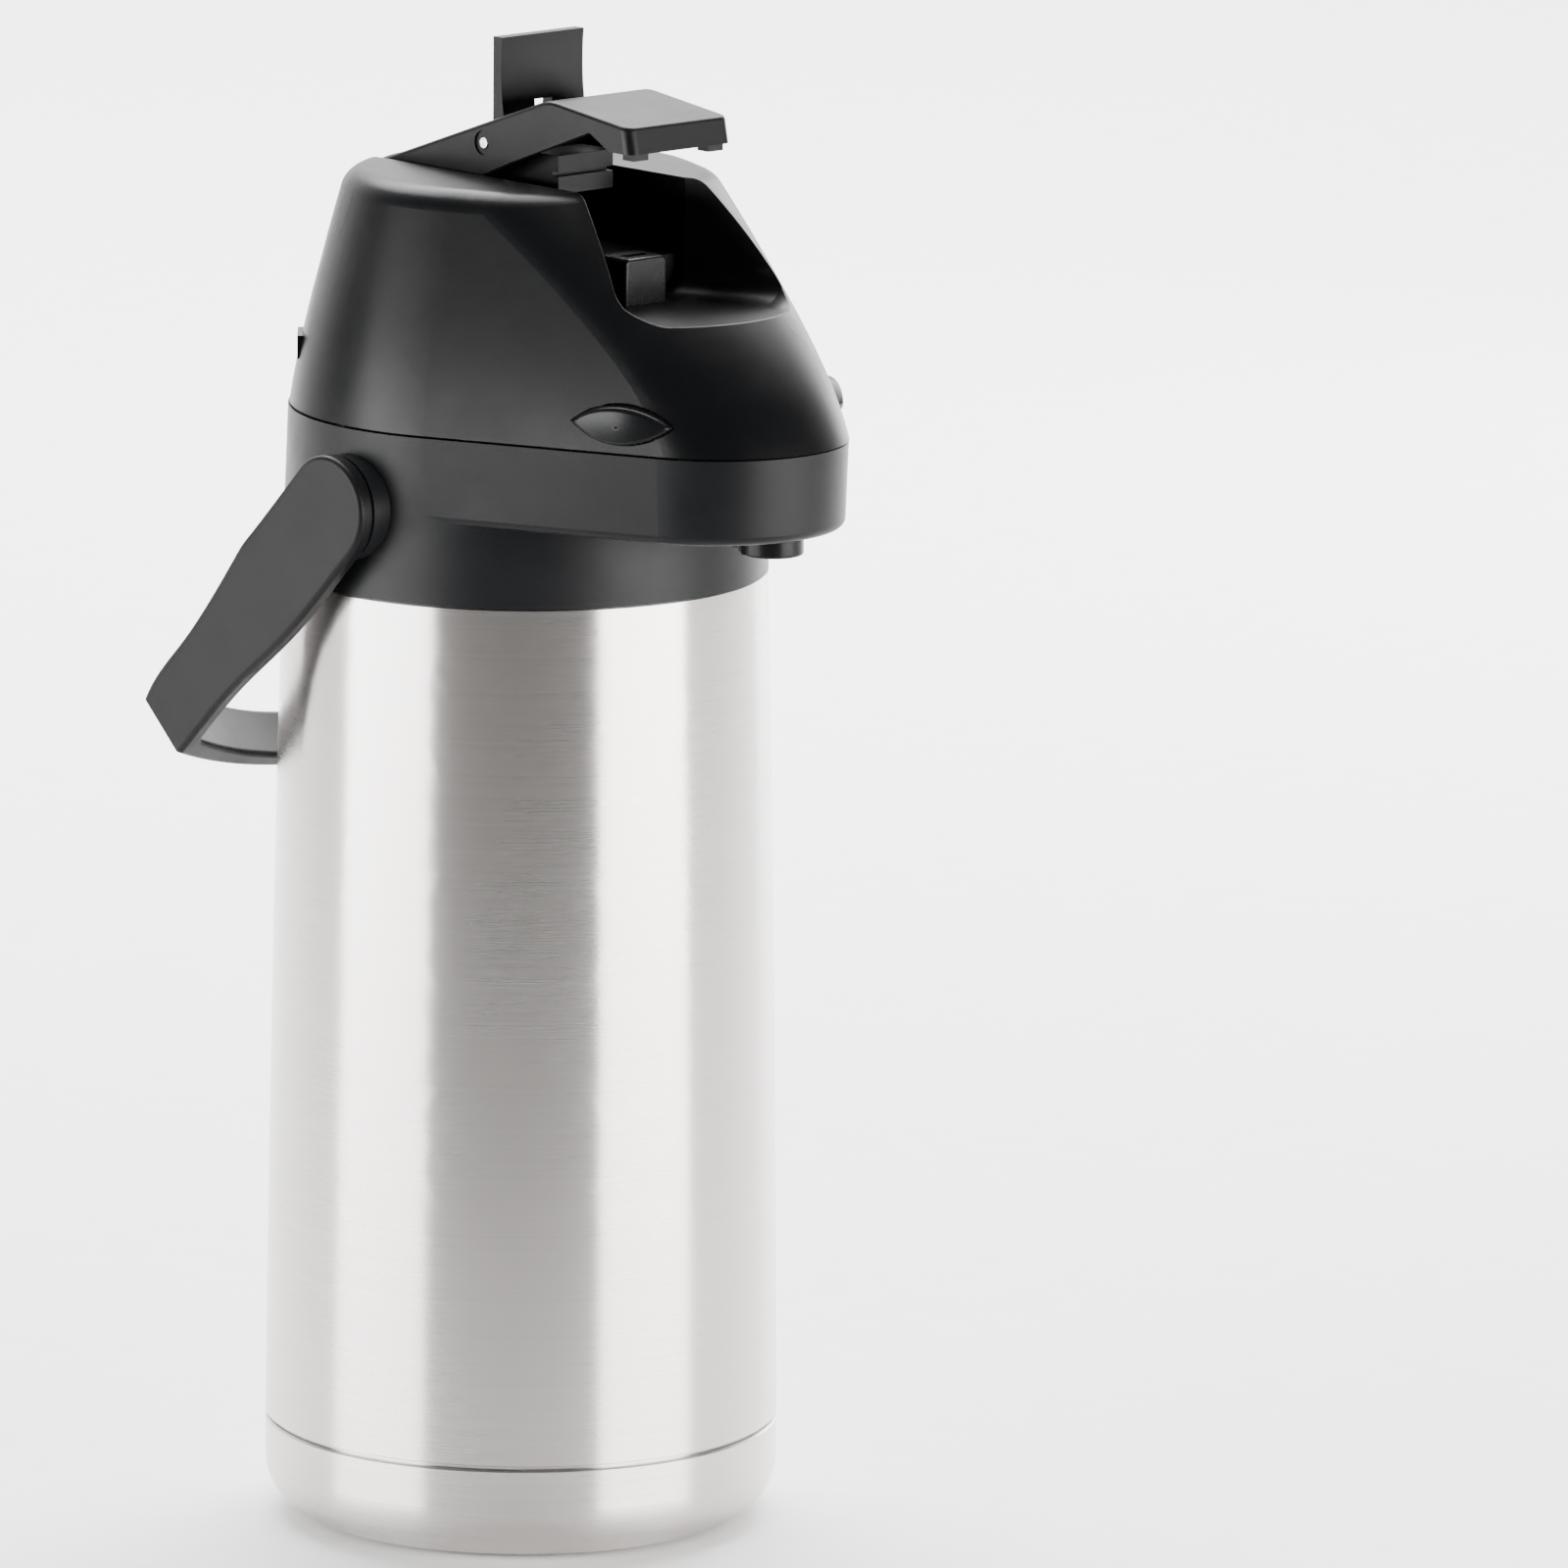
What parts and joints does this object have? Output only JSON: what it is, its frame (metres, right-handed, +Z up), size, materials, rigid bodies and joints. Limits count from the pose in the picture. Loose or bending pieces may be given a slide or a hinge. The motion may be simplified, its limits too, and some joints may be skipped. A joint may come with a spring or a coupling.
{
  "type": "thermal coffee airpot",
  "caption": "Steel vacuum airpot with a domed pump lid, a lever with a lock flap, a beak with a spout nozzle, two lid latches and a bail handle.",
  "frame": {"origin": "on the bottle's axis, on the surface the base ring stands on", "axes": "+Z up along the bottle, the spout points to -Y, and the lid's hinge is at +Y"},
  "size_m": [0.1508, 0.1959, 0.4151],
  "materials": {
    "brushed_steel": "fine horizontal brushing",
    "base_steel": "fine horizontal brushing, bright lip",
    "liner_steel": "drawn, satin",
    "bright_steel": "ground and polished",
    "spring_steel": "drawn wire",
    "black_plastic": "satin, fine moulded grain",
    "dome_plastic": "satin, fine moulded grain",
    "lever_plastic": "satin, fine moulded grain",
    "handle_plastic": "satin, fine moulded grain",
    "button_plastic": "semi-gloss",
    "nozzle_plastic": "semi-gloss",
    "food_plastic": "natural",
    "bellows_rubber": "matt silicone",
    "seal_rubber": "matt silicone",
    "foot_rubber": "matt"
  },
  "bodies": {
    "pot": {"outer_shell": "brushed_steel", "vacuum_bottom": "liner_steel", "inner_liner": "liner_steel", "mouth_ring": "liner_steel", "base_cup": "base_steel", "foot_ring": "foot_rubber", "bottom_plate": "black_plastic", "collar": "black_plastic", "lid_hinge_pin": "bright_steel", "spout_nozzle": "nozzle_plastic", "nozzle_seal": "seal_rubber", "stem_head": "food_plastic", "stem_gasket": "seal_rubber", "dip_tube": "food_plastic", "pour_pipe": "food_plastic", "handle_pin_left": "bright_steel", "handle_pin_right": "bright_steel"},
    "lid": {"dome_lid": "dome_plastic", "lever_stop": "button_plastic", "lid_base": "black_plastic", "lid_screws": "bright_steel", "lid_seal": "seal_rubber", "check_valve": "seal_rubber", "bellows": "bellows_rubber", "return_spring": "spring_steel", "lever_hinge_pin": "bright_steel", "latch_spring_left": "spring_steel", "latch_spring_right": "spring_steel"},
    "lever": {"lever": "lever_plastic", "link_pin": "bright_steel"},
    "flap": {"lock_flap": "lever_plastic"},
    "plunger": {"pressure_plate": "lever_plastic"},
    "latch_left": {"latch_button_left": "button_plastic"},
    "latch_right": {"latch_button_right": "button_plastic"},
    "handle": {"carry_handle": "handle_plastic"}
  },
  "joints": [
    {"name": "lid_open", "type": "hinge", "parent": "pot", "child": "lid", "pos_m": [0, 0.0695, 0.313], "axis": [-1, 0, 0], "range_deg": [0, 95]},
    {"name": "lever_press", "type": "hinge", "parent": "lid", "child": "lever", "pos_m": [0, 0.04, 0.368], "axis": [1, 0, 0], "range_deg": [-8, 22], "stiffness_Nm_per_rad": 1.2},
    {"name": "pump_stroke", "type": "slide", "parent": "lid", "child": "plunger", "axis": [0, 0, 1], "range_m": [-0.0172, 0.0063], "deforming": ["bellows", "return_spring"]},
    {"name": "handle_swing", "type": "hinge", "parent": "pot", "child": "handle", "pos_m": [0, -0.002, 0.2908], "axis": [1, 0, 0], "range_deg": [0, 120]},
    {"name": "latch_left_push", "type": "slide", "parent": "lid", "child": "latch_left", "axis": [0.925, 0.38, 0], "range_m": [0, 0.003], "stiffness_N_per_m": 800, "springref_m": -0.0005, "deforming": ["latch_spring_left"]},
    {"name": "latch_right_push", "type": "slide", "parent": "lid", "child": "latch_right", "axis": [-0.925, 0.38, 0], "range_m": [0, 0.003], "stiffness_N_per_m": 800, "springref_m": -0.0005, "deforming": ["latch_spring_right"]},
    {"name": "flap_fold", "type": "hinge", "parent": "lever", "child": "flap", "pos_m": [0, -0.0025, 0.3861], "axis": [-1, 0, 0], "range_deg": [0, 105]}
  ],
  "couplings": [
    {"joint": "pump_stroke", "follows": "lever_press", "m_per_rad": -0.044}
  ]
}
